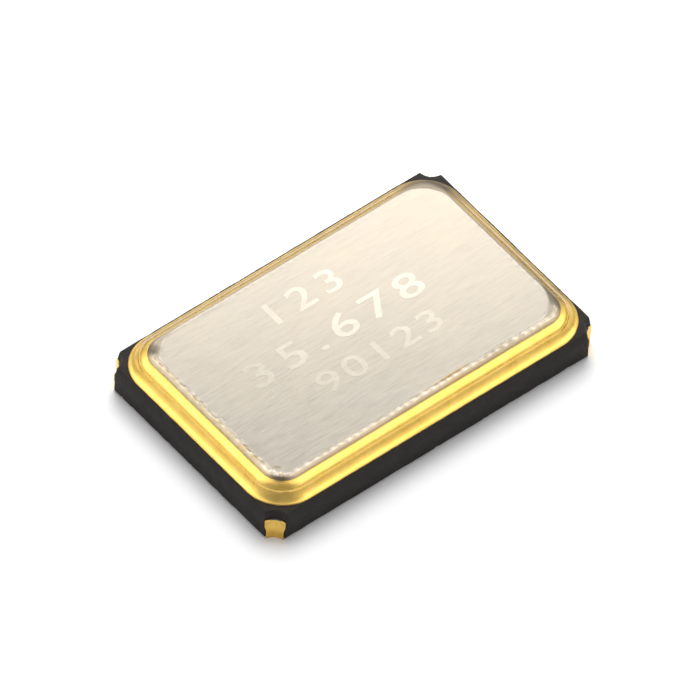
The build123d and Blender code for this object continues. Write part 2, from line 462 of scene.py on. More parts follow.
cavity_row = np.stack([
    np.interp(foot_angle, cavity_angle, cavity[order, k], period=2 * pi) for k in (0, 1)
], axis=-1)
rim_outer = high_edge[-1][:, :2]
rim = [with_level(rim_outer * (1 - t) + cavity_row * t, cup_top) for t in (0.1, 0.3, 0.6, 1.0)]
cup_floor = cup_bottom + 0.19 * mm
cavity_wall = [with_level(cavity_row, level) for level in np.linspace(cup_top, cup_floor, 5)[1:]]
inner_floor = [with_level(cavity_row * share, cup_floor) for share in (0.9, 0.6, 0.3)]
cup_points = np.array(underside + low_edge + side + high_edge + rim + cavity_wall + inner_floor)
print("cup rows", len(cup_points), "columns", cup_count)

# %% [markdown]
# Snapping leaves the sides slightly uneven and nicks the edges, so the wall is moved in by a
# few thousandths of a millimetre of noise. It never moves outward, which keeps the true size.

# %% Rough sides and nicked edges
first_side = len(underside)
last_side = first_side + len(low_edge) + len(side) + len(high_edge)
walked = np.cumsum(np.linalg.norm(np.diff(low_foot, axis=0, append=low_foot[:1]), axis=1))
level_grid = cup_points[first_side:last_side, :, 2]
walk_grid = np.broadcast_to(walked, level_grid.shape)
waviness = 0.5 + 0.5 * soft_noise(walk_grid, level_grid, 0.14 * mm, 3)
roughness_field = 0.5 + 0.5 * soft_noise(walk_grid, level_grid, 0.025 * mm, 4)
near_edge = np.exp(-np.minimum(level_grid - cup_bottom, cup_top - level_grid) / (0.022 * mm))
nicks = smooth_step(soft_noise(walk_grid, level_grid * 0.3, 0.05 * mm, 5), 0.55, 1.0)
inward = (0.006 * waviness + 0.0015 * roughness_field + 0.014 * nicks * near_edge) * mm
cup_points[first_side:last_side, :, :2] -= foot_normal * inward[..., None]
cup_shell = shell(cup_points, cap_first=True, cap_last=True)
print("wall moved in by up to", round(float(inward.max()) / mm, 4), "mm")

# %% [markdown]
# In the cavity stand a ledge, which the quartz plate is glued on, and a low ridge that keeps
# its free end off the floor. The lid hides both, so closed boxes are enough.

# %% Ledge and rest ridge
def block(low, high):
    """A closed box between its lowest and its highest corner."""
    x0, y0, z0 = low
    x1, y1, z1 = high
    ring = np.array([(x0, y0), (x1, y0), (x1, y1), (x0, y1)])
    corners = np.concatenate([with_level(ring, z0), with_level(ring, z1)])
    faces = [[3, 2, 1, 0], [4, 5, 6, 7], [0, 1, 5, 4], [1, 2, 6, 5], [2, 3, 7, 6], [3, 0, 4, 7]]
    return corners, faces


ledge_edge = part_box("mount_pad_near")[1][0] + 0.06 * mm
plate_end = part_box("quartz_plate")[1][0]
ridge_length, ridge_half_width, ridge_height = 0.25 * mm, 0.65 * mm, 0.12 * mm
ledge = block((-cavity_x, -cavity_y, cup_floor), (ledge_edge, cavity_y, plating_top))
rest_ridge = block(
    (plate_end - ridge_length, -ridge_half_width, cup_floor),
    (plate_end, ridge_half_width, cup_floor + ridge_height),
)
build("ceramic_cup", [cup_shell, ledge, rest_ridge], ceramic, ["ceramic_base"], "black_ceramic")

# %% [markdown]
# ## Gold plating
# The ring, the braze and the terminals are plated with nickel and then a very thin layer of
# gold, which is a clear yellow metal with a soft sheen. The plating shows fine lines that run
# round the ring. Noise alone has no such direction, so each gold piece keeps at its vertices
# how far round and how far across it lies, and the noise is stretched along the first.

# %% Gold finish
gold_light, gold_deep = (0.90, 0.615, 0.155), (0.83, 0.53, 0.11)
# The middle colour of the next line is the brown of the heat tint, which is also painted on the far sides
# as shade.
stain_brown, heat_tint_and_shade_brown, soot_black = (0.62, 0.42, 0.15), (0.50, 0.375, 0.19), (0.17, 0.145, 0.115)


def gold_finish(name, roughness, along_scale, across_scale, stain):
    """Gold with streaks along the piece: noise on (round, across), read from the mesh.

    The weld's marks are read from the mesh too: the tint browns the gold beside the weld, and
    the far sides as painted shade; soot blackens it and adds to its roughness.
    """
    material, tree, shader = new_finish(name, metallic=1.0, roughness=roughness)
    around, across = vertex_value(tree, "around"), vertex_value(tree, "across")
    strip = add(tree, "ShaderNodeCombineXYZ", {"X": around, "Y": across})
    streak_place = add(tree, "ShaderNodeMapping", {
        "Vector": strip.outputs["Vector"], "Scale": (along_scale, across_scale, 1.0),
    })
    streaks = add(tree, "ShaderNodeTexNoise", {
        "Vector": streak_place.outputs["Vector"], "Scale": 1.0, "Detail": 3.0, "Roughness": 0.6,
    }).outputs["Fac"]
    cloud = object_grain(tree, 0.16 * mm, detail=3)
    grains = object_grain(tree, 0.012 * mm, detail=2)
    colour = mix_colour(tree, remap(tree, cloud, 0.35, 0.65), gold_deep, gold_light)
    darkening = remap(tree, streaks, 0.58, 0.78, 0.0, stain)
    colour = mix_colour(tree, darkening, colour, stain_brown)
    # Painted shade: the tint attribute browns the far sides too, besides the gold beside the weld.
    heat_tint_and_shade_share = remap(tree, object_grain(tree, 0.05 * mm, detail=3), 0.35, 0.65, 0.72, 1.0)
    heat_tint_and_shade_share = combine(tree, "MULTIPLY", heat_tint_and_shade_share, vertex_value(tree, "warmth"))
    colour = mix_colour(tree, heat_tint_and_shade_share, colour, heat_tint_and_shade_brown)
    colour = mix_colour(tree, vertex_value(tree, "soot"), colour, soot_black)
    feed(tree, shader, "Base Color", colour)
    sheen = remap(tree, cloud, 0.3, 0.7, roughness * 0.85, roughness * 1.2)
    sooty = remap(tree, vertex_value(tree, "soot"), 0.0, 1.0, 0.0, 0.4)
    feed(tree, shader, "Roughness", combine(tree, "ADD", sheen, sooty))
    lines = bump(tree, shader, streaks, 0.0016 * mm)
    bump(tree, shader, grains, 0.0009 * mm, lines)
    return material


ring_gold = gold_finish("ring_gold", 0.28, 1.2 / mm, 34 / mm, 0.20)
braze_gold = gold_finish("braze_gold", 0.30, 1.6 / mm, 26 / mm, 0.18)
terminal_gold = gold_finish("terminal_gold", 0.34, 7 / mm, 7 / mm, 0.22)

# %% [markdown]
# ## Swept rings
# The printed band, the braze and the ring are all frames: one profile carried round a rounded
# rectangle. A point of the profile is a distance in from the outline and a level, so the sweep
# is the outline minus its normal times the distance in.

# %% Sweep a profile round an outline
def sweep(half_x, half_y, radius, profile, count):
    """Grid of points for a closed profile of (inset, level) pairs carried round an outline.

    Also gives, for each vertex, the distance walked round the outline and along the profile.
    """
    outline, normal = rounded_outline(half_x, half_y, radius, count)
    inset, level = np.array(profile).T
    grid = np.empty((len(inset), count, 3))
    grid[..., :2] = outline - normal * inset[:, None, None]
    grid[..., 2] = level[:, None]
    pace = np.linalg.norm(np.diff(outline, axis=0, append=outline[:1]), axis=1)
    around = np.broadcast_to(np.cumsum(pace), grid.shape[:2])
    steps = np.hypot(np.diff(inset, prepend=inset[0]), np.diff(level, prepend=level[0]))
    across = np.broadcast_to(np.cumsum(steps)[:, None], grid.shape[:2])
    return grid, around, across, normal


def arc(middle, radius, start, end, steps):
    """Points of a circle's arc in (inset, level), by angle: 0 points inward and 90 up."""
    angle = np.radians(np.linspace(start, end, steps))
    return np.stack([middle[0] + radius * np.cos(angle), middle[1] + radius * np.sin(angle)], -1)


def line(start, end, steps):
    """Evenly spaced points of a straight stretch, without its last point."""
    return np.linspace(start, end, steps, endpoint=False)


def build_frame(name, node, finish, grid, around, across, darkening, burn):
    """A swept grid as a gold piece in place of a CAD node."""
    build(name, [shell(grid, close_rows=True)], finish, [node], "gold_plating",
          around=around, across=across, warmth=darkening, soot=burn)


sweep_count = 1100
print("each frame has", sweep_count, "columns")

# %% [markdown]
# ## Marks of the weld
# Two rollers welded the lid on, one pair of sides after the other. The gold along the two far
# sides, +X and +Y, is painted darker and browner as shade, and the corner where the rollers
# lifted off is sooty. Each mark is a smooth function of place, so that all the metal pieces share it.

# %% Painted shade on the far sides, and soot
def burnt_corner(px, py):
    """How sooty the metal is at the back corner: two ovals, each exp(-r^4)."""
    off_x, off_y = (px - 2.14 * mm) / (0.34 * mm), (py - 1.30 * mm) / (0.26 * mm)
    left = np.exp(-(off_x ** 2 + off_y ** 2) ** 2)
    off_x, off_y = (px - 2.33 * mm) / (0.16 * mm), (py - 1.12 * mm) / (0.30 * mm)
    return np.clip(0.8 * left + 0.7 * np.exp(-(off_x ** 2 + off_y ** 2) ** 2), 0, 0.95)


def far_side_shade(px, py):
    """1 on the two far sides, +X and +Y, which are painted darker as shade, and 0 on the others."""
    long_side = smooth_step(py / cup_y, 0.70, 0.80) * smooth_step(px, -2.20 * mm, -1.95 * mm)
    short_side = smooth_step(px / cup_x, 0.70, 0.80) * smooth_step(py, -1.25 * mm, -1.00 * mm)
    return np.maximum(long_side, short_side)


def front_stain(px, py, reach):
    """A brown stain at the front corner: exp(-r^3), with r in reaches of so many mm."""
    return np.exp(-(((px + 2.29 * mm) ** 2 + (py + 1.40 * mm) ** 2) / (reach * mm) ** 2) ** 1.5)


# %% [markdown]
# ## Printed band
# A band of metal paste is printed on the cup's rim and fired, for the braze to hold on to. It
# is a flat film whose outer edge is a little uneven, as a printed edge is.

# %% Band
band_inset = opening_inset - (cup_x - band_x)
soft = 0.003 * mm
band_profile = np.concatenate([
    line((0, band_bottom), (0, band_top - soft), 3),
    arc((soft, band_top - soft), soft, 180, 90, 4),
    line((2 * soft, band_top), (band_inset, band_top), 6),
    line((band_inset, band_top), (band_inset, band_bottom), 3),
    line((band_inset, band_bottom), (0, band_bottom), 6),
])
grid, around, across, normal = sweep(band_x, band_y, band_radius, band_profile, sweep_count)
ragged = 0.5 + 0.5 * line_noise(around[0], 0.07 * mm, 11)
on_edge = np.exp(-np.array(band_profile)[:, 0] / (0.01 * mm))
grid[..., :2] -= normal * (0.004 * mm * ragged)[None, :, None] * on_edge[:, None, None]
px, py = grid[..., 0], grid[..., 1]
burn = 0.6 * burnt_corner(px, py)
# The far sides get painted shade; the band's outer edge is browned.
darkening = np.maximum(0.70 * far_side_shade(px, py), 0.9 * on_edge[:, None])
build_frame("band_film", "seal_band", braze_gold, grid, around, across, darkening, burn)

# %% [markdown]
# ## Braze
# The braze drew itself up the ring's wall while it was liquid, so its outer face is a hollow
# curve: gentle at the toe and steep where it meets the ring. The height goes up with the share
# s of the width as 0.22 s + 0.78 s^2.2. The rest of the profile hides under the ring.

# %% Profile of the braze
toe_height = 0.006 * mm
fillet_width = braze_x - ring_x
hidden_inset = fillet_width + 0.002 * mm
joint_inset = opening_inset - (cup_x - braze_x)
share = np.append(np.linspace(0, 1, 20)[:-1], [0.99, 1.0])
climb = 0.22 * share + 0.78 * share ** 2.2
fillet_top = braze_top + 0.020 * mm
hollow = np.stack([
    fillet_width * share, braze_bottom + toe_height + (fillet_top - braze_bottom - toe_height) * climb,
], axis=-1)
braze_profile = np.concatenate([
    line((0, braze_bottom), (0, braze_bottom + toe_height), 3),
    hollow,
    line((hidden_inset, fillet_top), (hidden_inset, ring_bottom), 3),
    line((hidden_inset, ring_bottom), (joint_inset, ring_bottom), 5),
    line((joint_inset, ring_bottom), (joint_inset, braze_bottom), 2),
    line((joint_inset, braze_bottom), (0, braze_bottom), 6),
])
print("fillet", round(fillet_width / mm, 3), "mm wide, up to", round(fillet_top / mm, 3), "mm")

# %% [markdown]
# Braze sets with slow waves along it. They fade at the toe and where the fillet meets the ring,
# so that no gap opens there.

# %% Braze fillet
braze_radius = band_radius - (band_x - braze_x)
grid, around, across, normal = sweep(braze_x, braze_y, braze_radius, braze_profile, sweep_count)
on_fillet = np.zeros(len(braze_profile))
on_fillet[3:3 + len(hollow)] = 1 - share ** 3
wave = soft_noise(around, across, 0.16 * mm, 21) * 0.0014 * mm
wave += soft_noise(around, across, 0.03 * mm, 22) * 0.0003 * mm
past_toe = smooth_step(across, 0.004 * mm, 0.03 * mm)
grid[..., 2] += np.maximum(wave, -0.002 * mm) * on_fillet[:, None] * past_toe
px, py = grid[..., 0], grid[..., 1]
burn = 0.8 * burnt_corner(px, py) + 0.14 * front_stain(px, py, 0.16)
# The far sides get painted shade, and the front corner a faint stain.
darkening = np.maximum(0.90 * far_side_shade(px, py), 0.12 * front_stain(px, py, 0.34))
build_frame("braze_fillet", "seal_braze", braze_gold, grid, around, across, darkening, burn)

# %% [markdown]
# ## Seal ring
# The ring was punched from sheet and tumbled, so its upper outer edge is generously round. An
# arc of a circle would do, but a cubic curve with two handles can start as steeply as the braze
# ends, which hides the joint.

# %% Profile of the ring
edge_in = 0.110 * mm
low_edge_radius = 0.012 * mm
ring_inner = opening_inset - (cup_x - ring_x)
t = np.linspace(0, 1, 26)[:, None]
handles = np.array([
    (0, fillet_top - 0.004 * mm), (0.006 * mm, fillet_top + 0.035 * mm),
    (0.013 * mm, ring_top - 0.030 * mm), (edge_in, ring_top),
])
shares = ((1 - t) ** 3, 3 * (1 - t) ** 2 * t, 3 * (1 - t) * t ** 2, t ** 3)
round_edge = sum(part * handle for part, handle in zip(shares, handles))
ring_profile = np.concatenate([
    arc((low_edge_radius, ring_bottom + low_edge_radius), low_edge_radius, 270, 180, 5),
    line((0, ring_bottom + low_edge_radius), (0, fillet_top - 0.004 * mm), 8)[1:],
    round_edge,
    line((edge_in, ring_top), (ring_inner - low_edge_radius, ring_top), 12)[1:],
    arc((ring_inner - low_edge_radius, ring_top - low_edge_radius), low_edge_radius, 90, 0, 5),
    line((ring_inner, ring_top - low_edge_radius), (ring_inner, ring_bottom), 4)[1:],
    line((ring_inner, ring_bottom), (low_edge_radius, ring_bottom), 6),
])
print("ring profile has", len(ring_profile), "points")

# %% [markdown]
# Tumbling leaves shallow dents. They only go inward, so the ring keeps its true size.

# %% Dented ring
grid, around, across, normal = sweep(ring_x, ring_y, ring_radius, ring_profile, sweep_count)
dents = soft_noise(around, across, 0.20 * mm, 31) * 0.0012 * mm
dents += soft_noise(around, across * 4, 0.06 * mm, 32) * 0.0005 * mm
inset = np.array(ring_profile)[:, 0]
facing = np.clip((ring_inner * 0.5 - inset) / (ring_inner * 0.5), 0, 1)
grid[..., :2] -= normal * (np.maximum(dents, 0) * facing[:, None])[..., None]
print("deepest dent", round(float(dents.max()) / mm, 4), "mm")

# %% [markdown]
# The weld's heat drew nickel through the gold beside the lid, which dulled it to a grey brown.
# The band of dull metal is uneven, so its edge is moved by noise.

# %% Heat beside the weld
px, py = grid[..., 0], grid[..., 1]
reach = line_noise(around, 0.10 * mm, 33) * 0.008 * mm
reach += line_noise(around, 0.6 * mm, 34) * 0.008 * mm
ring_tint_and_shade = smooth_step(inset[:, None] + reach, 0.088 * mm, 0.108 * mm)
ring_tint_and_shade *= 0.45 + 0.15 * line_noise(around, 0.25 * mm, 35)
ring_tint_and_shade *= 1 - 0.75 * smooth_step(-px, 0.80 * ring_x, 0.86 * ring_x) * (py > -0.8 * ring_y)
# The far sides get the same brown as painted shade.
ring_tint_and_shade = np.maximum(ring_tint_and_shade, 0.90 * far_side_shade(px, py))
ring_tint_and_shade = np.maximum(ring_tint_and_shade, 0.15 * front_stain(px, py, 0.34))
tip = ((px + 2.180 * mm) / (0.075 * mm)) ** 2 + ((py + 1.280 * mm) / (0.075 * mm)) ** 2
front_tip = 0.60 * np.exp(-tip ** 2) * (inset[:, None] > 0.085 * mm)
burn = np.maximum(burnt_corner(px, py), front_tip)
build_frame("gold_ring", "seal_ring", ring_gold, grid, around, across, ring_tint_and_shade, burn)

# %% [markdown]
# ## Nickel lid
# The lid is thin nickel plated sheet, brushed along its length. Two rollers welded its edge to
# the ring as a row of overlapping spots. Inside the weld is the flat of the lid; at the corners
# the rollers pressed the edge down, so the flat has rounder corners than the lid itself.

# %% Lid surface
lid_count = 1450
near_width, far_width = 0.100 * mm, 0.048 * mm
outline, normal = rounded_outline(lid_x, lid_y, lid_radius, lid_count)
pace = np.linalg.norm(np.diff(outline, axis=0, append=outline[:1]), axis=1)
walked = np.cumsum(pace)
near_rows = np.concatenate([
    np.array([0.0, 0.0, 0.0015, 0.004, 0.008, 0.013]) * mm,
    np.linspace(0.018, 0.13, 26) * mm,
    np.linspace(0.14, 0.26, 9) * mm,
])
near = outline[None] - normal[None] * near_rows[:, None, None]
inner_shares = np.linspace(1, 0.02, 24)[1:]
far = near[-1][None] * inner_shares[:, None, None]
lid_xy = np.concatenate([near, far])
x, y = lid_xy[..., 0], lid_xy[..., 1]
walk = np.broadcast_to(walked, x.shape)
depth = -signed_distance(x, y, lid_x, lid_y, lid_radius)
shift = (near_width - far_width) / 2
flat_x, flat_y = lid_x - (near_width + far_width) / 2, lid_y - (near_width + far_width) / 2
flat_radius = (0.42 - 0.22 * smooth_step(-(x / lid_x + y / lid_y), 1.2, 1.7)) * mm
beyond_flat = signed_distance(x - shift, y - shift, flat_x, flat_y, flat_radius)
print("lid rows", len(lid_xy), "columns", lid_count)

# %% [markdown]
# The two sides nearest terminal 1 have the widest and clearest weld. The spots are a raised
# cosine along the weld line, uneven in height and place, and merge into a smooth bead towards
# -X, as they do where rollers run slowly. Across the line, a spot is a bell shape.

# %% Weld spots
weld_line, spot_pitch = 0.060 * mm, 0.128 * mm
front_right = smooth_step(-y, 0.80 * lid_y, 0.90 * lid_y)
front_left = smooth_step(-x, 0.88 * lid_x, 0.94 * lid_x)
back_sides = np.clip(1 - front_right - front_left, 0, 1)
strength = 0.75 + 0.25 * line_noise(walk, 0.30 * mm, 42)
jitter = line_noise(walk, 0.35 * mm, 43) * 0.25 * spot_pitch
phase = 2 * pi * (walk + jitter) / spot_pitch
merged = smooth_step(line_noise(walk, 0.8 * mm, 45), -0.2, 0.5)
merged = np.clip(merged + smooth_step(-x, 0.25 * lid_x, 0.7 * lid_x), 0, 1)
spots = (0.5 + 0.5 * np.cos(phase)) ** 1.5
spots = spots * (1 - 0.6 * merged) + 0.6 * merged
line_wander = line_noise(walk, 0.16 * mm, 46) * 0.006 * mm
across_weld = np.exp(-((depth - weld_line - line_wander) / (0.0230 * mm)) ** 2)
bead_mask = strength * spots * across_weld
print("about", round(float(walked[-1] / spot_pitch)), "weld spots")

# %% [markdown]
# The height of the lid is a sum: its flat with a very shallow dish and slow ripples, minus a
# step down outside the flat and a fall at the very edge, plus the weld's bead.

# %% Lid height
flat_level = lid_bottom + 0.047 * mm


def lid_level(px, py):
    """The height of the lid's flat: a dish, which is a product of two parabolas, and ripples."""
    dish = -0.004 * mm * (1 - (px / lid_x) ** 2) * (1 - (py / lid_y) ** 2)
    return flat_level + dish + soft_noise(px, py, 0.9 * mm, 41) * 0.0010 * mm


ragged = line_noise(walk, 0.06 * mm, 44) * mm * (0.003 + 0.014 * front_left)
step_down = smooth_step(beyond_flat + ragged, 0.000 * mm, 0.028 * mm)
corner_drop = smooth_step(beyond_flat, 0.02 * mm, 0.13 * mm)
bead = 0.0155 * mm * bead_mask * (1 - 0.75 * back_sides)
edge_fall = 0.020 * mm * np.exp(-depth / (0.012 * mm))
height = lid_level(x, y) - 0.008 * mm * step_down - 0.012 * mm * corner_drop + bead - edge_fall
height[0] = lid_bottom
height[1] = np.maximum(height[1], lid_bottom + 0.012 * mm)
height = np.clip(height, lid_bottom, lid_top + 0.004 * mm)
underside_rows = [with_level(outline * share, lid_bottom) for share in (0.05, 0.5, 0.9)]
lid_grid = np.concatenate([np.array(underside_rows), np.concatenate([lid_xy, height[..., None]], axis=-1)])
print("lid from", round(float(height.min()) / mm, 4), "to", round(float(height.max()) / mm, 4), "mm")

# %% [markdown]
# ## Heat marks on the lid
# The corners that the rollers touched last are sooty, and the crescent outside the flat at the right
# corner is darker. These marks are ovals, kept as a number at each vertex, which the finish reads.
# They could be painted by hand on an image, but places in millimetres are easier to change.

# %% Sooty corners
def blot(centre_x, centre_y, reach_x, reach_y, turn=0.0, sharpness=2.0):
    """An oval mark given in mm, 1 in the middle and 0 outside: exp(-r^(2 sharpness)) on axes
    turned by an angle."""
    off_x, off_y = x - centre_x * mm, y - centre_y * mm
    along = (off_x * np.cos(turn) + off_y * np.sin(turn)) / (reach_x * mm)
    aside = (off_y * np.cos(turn) - off_x * np.sin(turn)) / (reach_y * mm)
    return np.exp(-(along ** 2 + aside ** 2) ** sharpness)


soot = 0.62 * blot(-2.105, 1.225, 0.120, 0.095, -0.75)
soot += 0.30 * blot(-2.13, 1.21, 0.07, 0.06, -0.75, 1.5)
soot += 0.30 * blot(-1.93, 1.29, 0.20, 0.045, 0.0, 1.5)
# A darker crescent outside the flat at the right corner.
soot += 0.80 * blot(2.20, -1.03, 0.10, 0.24) * smooth_step(beyond_flat, 0.0, 0.03 * mm)
soot += 0.75 * burnt_corner(x, y) * smooth_step(beyond_flat, -0.01 * mm, 0.03 * mm)
soot += 0.75 * blot(-2.140, -1.240, 0.11, 0.05, -0.785) * (depth < 0.034 * mm)
soot = np.clip(soot, 0, 0.95)
print("sooty vertices", int((soot > 0.3).sum()))

# %% [markdown]
# Heat browned the weld in specks, and more at two places on the long near side. The seam is
# the dull strip outside the weld. The spots are fused metal, painted paler than the lid as a highlight.

# %% Seam, painted highlight of the weld spots, and browning
specks = smooth_step(soft_noise(walk, depth * 2.5, 0.050 * mm, 51), 0.20, 0.70)
seam_depth = 0.100 * mm - 0.062 * mm * back_sides
in_seam = smooth_step(seam_depth - depth, 0.0, 0.015 * mm)
browning = 0.60 * specks * in_seam * (0.25 * front_right + 0.9 * front_left)
browning += 0.85 * blot(0.47, -1.247, 0.26, 0.018, 0.02)
browning += 0.60 * blot(0.50, -1.318, 0.20, 0.014)
browning += 0.60 * blot(-2.067, -1.098, 0.05, 0.02, -0.75)
browning = np.clip(browning, 0, 0.95)
strip_width = 0.052 * mm - 0.020 * mm * back_sides + 0.5 * ragged
outer_strip = smooth_step(strip_width - depth, 0.0, 0.014 * mm)
torn = 0.5 + 0.5 * soft_noise(walk, depth, 0.045 * mm, 52)
seam = np.maximum(outer_strip * (1 - 0.3 * back_sides - 0.20 * front_left * torn), 0.45 * step_down)
# Painted highlight: the weld spots are painted paler than the lid, standing for the light they catch.
molten = np.clip(1.15 * bead_mask, 0, 1) * (1 - 0.9 * back_sides)
molten *= 1 - 0.5 * front_left - 0.4 * front_left * torn
# The pale band at the front left corner, outside the flat, is the same painted highlight.
corner_band = smooth_step(-x, 0.86 * lid_x, 0.93 * lid_x) * smooth_step(-y, 0.62 * lid_y, 0.90 * lid_y)
molten = np.maximum(molten, corner_band * smooth_step(depth, 0.02 * mm, 0.04 * mm) * step_down)
print("molten share", round(float(molten.mean()), 4), "browned share", round(float(browning.mean()), 4))

# %% [markdown]
# The finish is a pale warm metal. Brushing shows as fine streaks along the lid, in the colour,
# the roughness and the bump. A slow change from cream to grey runs across it. The numerals use
# the same finish, frosted by the laser and rubbed thin in places.

# %% Nickel finish
nickel_grey, nickel_cream, shade = (0.60, 0.560, 0.490), (0.635, 0.585, 0.495), (0.545, 0.515, 0.46)
scratch_light, scratch_dark = (0.715, 0.67, 0.59), (0.49, 0.455, 0.395)
# The last colour of the next line is the painted highlight of the weld spots.
seam_dark, seam_light, molten_light = (0.36, 0.28, 0.165), (0.42, 0.33, 0.215), (0.82, 0.73, 0.62)
browned, sooty_nickel, frost = (0.42, 0.27, 0.085), (0.15, 0.125, 0.095), (0.87, 0.83, 0.74)


def nickel_finish(name, frosted):
    """Brushed nickel; if frosted, paler where the laser's mark has not been rubbed away."""
    material, tree, shader = new_finish(name, metallic=1.0, roughness=0.40)
    brushing = object_grain(tree, 0.030 * mm, stretch=(11, 1, 1), detail=4, roughness=0.65)
    broad_brushing = object_grain(tree, 0.10 * mm, stretch=(5, 1, 1), detail=3, offset=(3.7, 1.2, 0.5))
    patches = object_grain(tree, 0.8 * mm, detail=2, offset=(0.3, 4.1, 0.0))
    colour = mix_colour(tree, remap(tree, patches, 0.3, 0.7), nickel_grey, nickel_cream)
    colour = mix_colour(tree, remap(tree, broad_brushing, 0.35, 0.7, 0.0, 0.45), colour, shade)
    colour = mix_colour(tree, remap(tree, brushing, 0.42, 0.72, 0.0, 0.45), colour, scratch_light)
    colour = mix_colour(tree, remap(tree, brushing, 0.45, 0.28, 0.0, 0.35), colour, scratch_dark)
    if frosted:
        wear = object_grain(tree, 0.14 * mm, stretch=(2, 1, 1), detail=4, roughness=0.7)
        rubbed = remap(tree, remap(tree, wear, 0.38, 0.62), 0.0, 1.0, 0.62, 1.0)
        place = add(tree, "ShaderNodeTexCoord")
        axes = add(tree, "ShaderNodeSeparateXYZ", {"Vector": place.outputs["Object"]})
        kept_x = remap(tree, axes.outputs["X"], -1.3 * mm, 0.3 * mm, 0.25, 0.9)
        kept_y = remap(tree, axes.outputs["Y"], -0.5 * mm, 0.1 * mm, 0.45, 1.0)
        kept = combine(tree, "MULTIPLY", combine(tree, "MULTIPLY", kept_x, kept_y), rubbed)
        colour = mix_colour(tree, kept, colour, frost)
    else:
        seam_colour = mix_colour(tree, remap(tree, patches, 0.4, 0.6), seam_dark, seam_light)
        seam_share = remap(tree, vertex_value(tree, "seam"), 0, 1, 0, 0.92)
        colour = mix_colour(tree, seam_share, colour, seam_colour)
        # The weld spot colour is a painted highlight; browning and soot are marks of the weld.
        for mark, tone in (("molten", molten_light), ("browning", browned), ("soot", sooty_nickel)):
            colour = mix_colour(tree, vertex_value(tree, mark), colour, tone)
    feed(tree, shader, "Base Color", colour)
    low = 0.46 if frosted else 0.35
    feed(tree, shader, "Roughness", remap(tree, brushing, 0.3, 0.7, low, low + 0.11))
    grooves = bump(tree, shader, brushing, 0.0012 * mm)
    bump(tree, shader, broad_brushing, 0.0018 * mm, grooves)
    return material


nickel = nickel_finish("nickel_lid", False)
laser_mark = nickel_finish("laser_mark", True)
print("two nickel finishes:", nickel.name, "and", laser_mark.name)

# %% [markdown]
# The marks were worked out for the top of the lid. The mesh also has an underside and a middle
# point at each end, which get zeros.

# %% Lid
def padded(field):
    """Adds rows of zeros for the underside, and one value for each end cap."""
    pad_rows = np.zeros((len(underside_rows), lid_count))
    return np.concatenate([np.concatenate([pad_rows, field]).ravel(), [0.0, 0.0]])


build("lid_sheet", [shell(lid_grid, cap_first=True, cap_last=True)], nickel, ["lid"], "nickel_lid",
      seam=padded(seam), molten=padded(molten), browning=padded(browning), soot=padded(soot))

# %% [markdown]
# ## Terminals
# A terminal is a solder pad under the corner and the plated wall of the corner notch. The pad
# is a thin plate with round corners. Pad 1 has a slanted inner corner, which tells a person
# which way round the part goes on a board.

# %% Solder pads
corners = {1: (-1, -1), 2: (1, -1), 3: (1, 1), 4: (-1, 1)}


def pad_outline(number, count=240):
    """A rectangle with round corners, a bite for the notch, and on pad 1 a slanted inner corner.

    It is laid out as distances from the package corner and then mirrored into place.
    """
    low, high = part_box(f"terminal_{number}")
    length, width = high[0] - low[0], high[1] - low[1]
    margin, bite, corner_width = 0.10 * mm, narrow_notch - plating, 0.0105 * mm
    slant = 0.25 * mm if number == 1 else 0.001 * mm
    start, end = np.arcsin(margin / bite), np.arccos(margin / bite)
    angle = np.linspace(end, start, 24)
    bite_points = np.stack([bite * np.cos(angle), bite * np.sin(angle)], -1)
    path = np.concatenate([
        bite_points, [(length, margin), (length, width - slant), (length - slant, width), (margin, width)],
        bite_points[:1],
    ])
    sx, sy = corners[number]
    outline = np.array([sx * cup_x, sy * cup_y]) - soft_path(path, count, corner_width) * np.array([sx, sy])
    return outline if sx * sy > 0 else outline[::-1]


def pad_shell(number):
    """Rows of a plate with a rounded lower edge, from the middle of its underside round to the
    middle of its top."""
    outline = pad_outline(number)
    normal = outward(outline)
    middle = outline.mean(axis=0)
    soft_edge = 0.008 * mm
    rows = [with_level(middle + (outline - middle) * share, 0.0) for share in (0.3, 0.7, 0.93)]
    for turn in np.linspace(0, pi / 2, 4):
        row = outline - normal * soft_edge * (1 - np.sin(turn))
        rows.append(with_level(row, soft_edge * (1 - np.cos(turn))))
    rows.append(with_level(outline, cup_bottom - 0.001 * mm))
    for share in (0.93, 0.5):
        rows.append(with_level(middle + (outline - middle) * share, cup_bottom - 0.0005 * mm))
    return np.array(rows)


print("pad outline has", len(pad_outline(1)), "points")

# %% [markdown]
# The wall is part of a thin tube about the package corner, swept from one side of the package
# to the next. Its upper edge is wavy, because plating paste is drawn down the hole by suction.

